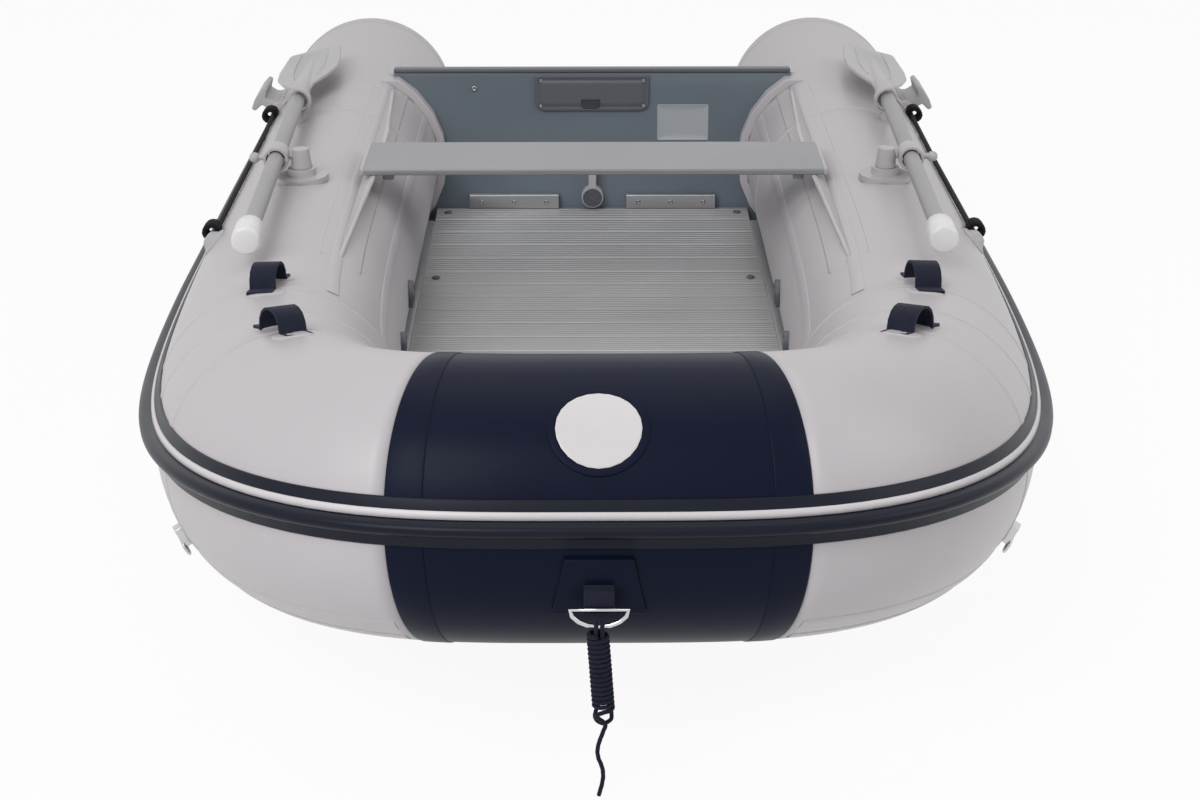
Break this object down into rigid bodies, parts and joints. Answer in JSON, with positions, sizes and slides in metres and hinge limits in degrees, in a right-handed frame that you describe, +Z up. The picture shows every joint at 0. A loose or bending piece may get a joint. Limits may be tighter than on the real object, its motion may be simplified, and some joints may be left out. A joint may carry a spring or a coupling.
{
  "type": "inflatable boat",
  "caption": "Inflatable tender with a grey U-shaped tube, navy bow band, rub strake, slatted aluminium floor, transom, sliding bench, oars and bow painter.",
  "frame": {"origin": "centre of the boat's footprint on the ground", "axes": "+Z up, +Y from the bow to the stern, +X towards the starboard side as seen from the bow's front on the right"},
  "size_m": [1.631, 3.39, 0.55],
  "materials": {
    "aluminium": "satin anodised",
    "dark_plastic": "matte",
    "grey_plastic": "satin",
    "pvc_grey": "satin coated fabric",
    "pvc_navy": "satin coated fabric",
    "rope": "laid rope",
    "steel": "polished",
    "strake_white": "satin",
    "transom_blue": "painted satin",
    "webbing": "woven",
    "white_plastic": "satin"
  },
  "bodies": {
    "hull": {"air_valve_left": "dark_plastic", "air_valve_right": "dark_plastic", "bow_patch": "pvc_navy", "bow_ring": "steel", "bow_ring_tab": "webbing", "bow_section": "pvc_navy", "carry_strap_front_left": "webbing", "carry_strap_front_right": "webbing", "carry_strap_rear_left": "webbing", "carry_strap_rear_right": "webbing", "corner_ring_left": "steel", "corner_ring_right": "steel", "drain_valve": "grey_plastic", "floor_hold_down_left": "aluminium", "floor_hold_down_right": "aluminium", "floor_panel_1": "aluminium", "floor_panel_2": "aluminium", "floor_panel_3": "aluminium", "floor_panel_4": "aluminium", "floor_stringer_left": "aluminium", "floor_stringer_right": "aluminium", "hull_bottom": "pvc_grey", "lifeline_left": "rope", "lifeline_right": "rope", "motor_pad_inner": "dark_plastic", "motor_pad_outer": "dark_plastic", "oar_clip_left": "grey_plastic", "oar_clip_right": "grey_plastic", "oarlock_socket_left": "grey_plastic", "oarlock_socket_right": "grey_plastic", "painter_hank": "rope", "painter_tail": "rope", "rub_strake": "pvc_navy", "seat_rail_left": "pvc_grey", "seat_rail_right": "pvc_grey", "side_handle_left": "grey_plastic", "side_handle_right": "grey_plastic", "stern_cone_left": "pvc_grey", "stern_cone_right": "pvc_grey", "strake_line": "strake_white", "transom": "transom_blue", "transom_cap": "dark_plastic", "transom_holder_left": "pvc_grey", "transom_holder_right": "pvc_grey", "tube_left": "pvc_grey", "tube_right": "pvc_grey"},
    "bench": {"bench_board": "aluminium", "bench_clamp_left": "grey_plastic", "bench_clamp_right": "grey_plastic"},
    "oar_left": {"oar_pin_left": "grey_plastic", "oar_collar_left": "grey_plastic", "oar_shaft_left": "aluminium", "oar_grip_left": "white_plastic", "oar_blade_left": "grey_plastic"},
    "oar_right": {"oar_pin_right": "grey_plastic", "oar_collar_right": "grey_plastic", "oar_shaft_right": "aluminium", "oar_grip_right": "white_plastic", "oar_blade_right": "grey_plastic"}
  },
  "joints": [
    {"name": "bench_slide", "type": "slide", "parent": "hull", "child": "bench", "axis": [0, 1, 0], "range_m": [-0.1, 0.15]},
    {"name": "oar_left_swing", "type": "hinge", "parent": "hull", "child": "oar_left", "pos_m": [-0.58164, -0.05214, 0.4382], "axis": [-0.0289, 0, 0.9996], "range_deg": [0, 60]},
    {"name": "oar_right_swing", "type": "hinge", "parent": "hull", "child": "oar_right", "pos_m": [0.58164, -0.05214, 0.4382], "axis": [-0.0289, 0, -0.9996], "range_deg": [0, 60]}
  ]
}
